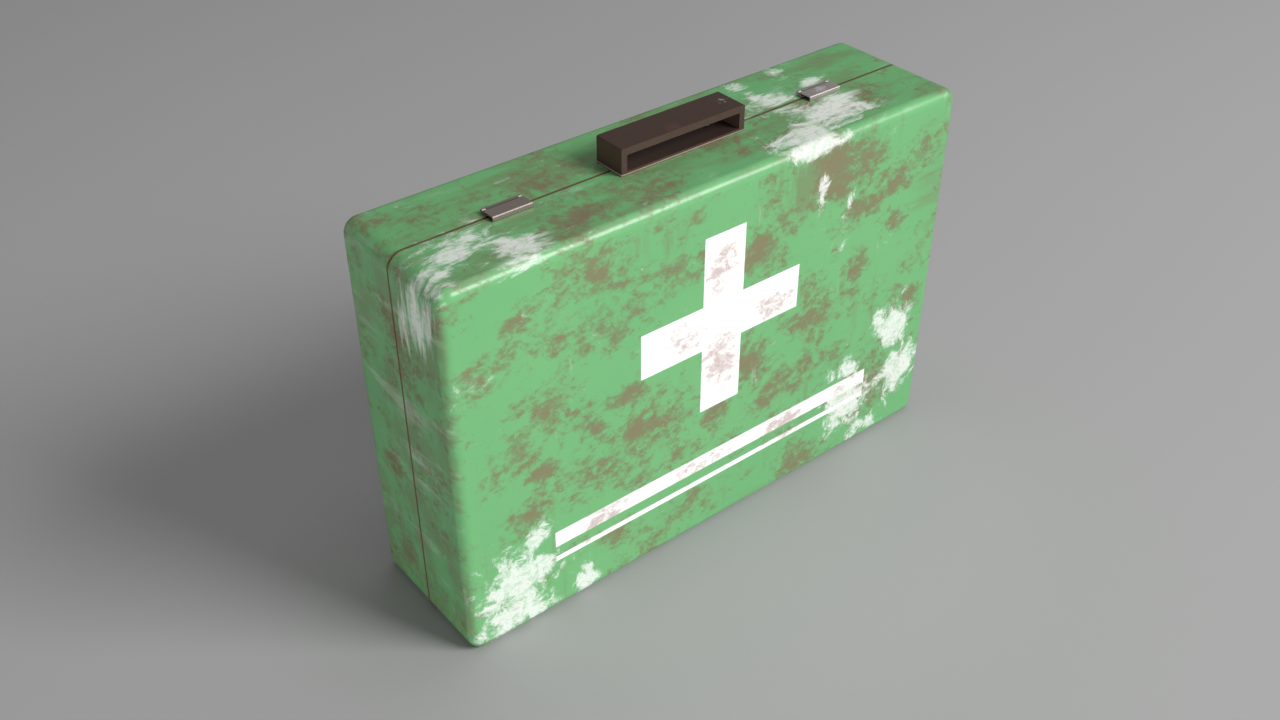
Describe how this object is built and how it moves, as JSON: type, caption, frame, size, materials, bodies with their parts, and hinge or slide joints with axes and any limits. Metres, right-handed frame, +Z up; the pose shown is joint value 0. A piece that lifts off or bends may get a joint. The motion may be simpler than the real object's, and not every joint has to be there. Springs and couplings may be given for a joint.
{
  "type": "first aid kit",
  "caption": "Hard metal first aid case with a hinged lid, lever latches, a rigid carrying handle and a fitted tray of dressings and instruments.",
  "frame": {"origin": "middle of the base that the case stands on, under the middle of its bounding box", "axes": "+Z up from the base to the handle, +X to the right of somebody facing the lid, and the lid with the cross faces -Y"},
  "size_m": [0.4, 0.105, 0.285],
  "materials": {
    "case_paint": "satin",
    "handle_metal": "satin",
    "latch_metal": "satin",
    "fitting_steel": "satin",
    "seal_rubber": "matte",
    "tray_plastic": "matte",
    "bandage_cotton": "matte",
    "dressing_wrap": "matte",
    "box_card": "matte",
    "tape_cloth": "matte",
    "bottle_plastic": "gloss",
    "cap_plastic": "satin",
    "instrument_steel": "satin",
    "strap_webbing": "matte",
    "foil_film": "gloss",
    "glove_film": "satin"
  },
  "bodies": {
    "case": {"back_shell": "case_paint", "rim_seal": "seal_rubber", "hinge_leaf_case_left": "fitting_steel", "hinge_leaf_case_right": "fitting_steel", "hinge_pin_left": "fitting_steel", "hinge_pin_right": "fitting_steel", "hinge_rivet_case_1": "fitting_steel", "hinge_rivet_case_2": "fitting_steel", "hinge_rivet_case_3": "fitting_steel", "hinge_rivet_case_4": "fitting_steel", "latch_bracket_left": "latch_metal", "latch_bracket_right": "latch_metal", "latch_pin_left": "fitting_steel", "latch_pin_right": "fitting_steel", "handle_grip": "handle_metal", "handle_backing_plate": "fitting_steel", "handle_screw_left": "fitting_steel", "handle_screw_right": "fitting_steel", "handle_nut_left": "fitting_steel", "handle_nut_right": "fitting_steel", "insert_tray": "tray_plastic", "bandage_roll_1": "bandage_cotton", "bandage_roll_2": "bandage_cotton", "bandage_roll_3": "bandage_cotton", "gauze_pack_a": "dressing_wrap", "gauze_pack_b": "dressing_wrap", "plaster_box": "box_card", "tape_roll": "tape_cloth", "antiseptic_bottle": "bottle_plastic", "scissor_blade_fixed": "instrument_steel", "scissor_pivot": "instrument_steel", "tweezers": "instrument_steel"},
    "lid": {"front_shell": "case_paint", "hinge_leaf_lid_left": "fitting_steel", "hinge_leaf_lid_right": "fitting_steel", "hinge_rivet_lid_1": "fitting_steel", "hinge_rivet_lid_2": "fitting_steel", "hinge_rivet_lid_3": "fitting_steel", "hinge_rivet_lid_4": "fitting_steel", "latch_keeper_left": "fitting_steel", "latch_keeper_right": "fitting_steel", "lid_strap_left": "strap_webbing", "lid_strap_right": "strap_webbing", "triangular_bandage": "dressing_wrap", "foil_blanket": "foil_film", "gloves_pack": "glove_film"},
    "left_latch": {"latch_lever_left": "latch_metal"},
    "right_latch": {"latch_lever_right": "latch_metal"},
    "moving_blade": {"scissor_blade_moving": "instrument_steel"},
    "cap": {"bottle_cap": "cap_plastic"}
  },
  "joints": [
    {"name": "lid_hinge", "type": "hinge", "parent": "case", "child": "lid", "pos_m": [0, -0.0005, 0.0021], "axis": [1, 0, 0], "range_deg": [0, 110]},
    {"name": "left_latch_hinge", "type": "hinge", "parent": "case", "child": "left_latch", "pos_m": [-0.122, 0.0047, 0.2693], "axis": [-1, 0, 0], "range_deg": [0, 120]},
    {"name": "right_latch_hinge", "type": "hinge", "parent": "case", "child": "right_latch", "pos_m": [0.122, 0.0047, 0.2693], "axis": [-1, 0, 0], "range_deg": [0, 120]},
    {"name": "scissor_hinge", "type": "hinge", "parent": "case", "child": "moving_blade", "pos_m": [0.014, 0.0288, 0.186], "axis": [0, 1, 0], "range_deg": [0, 40]},
    {"name": "cap_turn", "type": "hinge", "parent": "case", "child": "cap", "pos_m": [0.096, 0.029, 0.1], "axis": [0, 0, 1], "range_deg": [0, 360]}
  ]
}
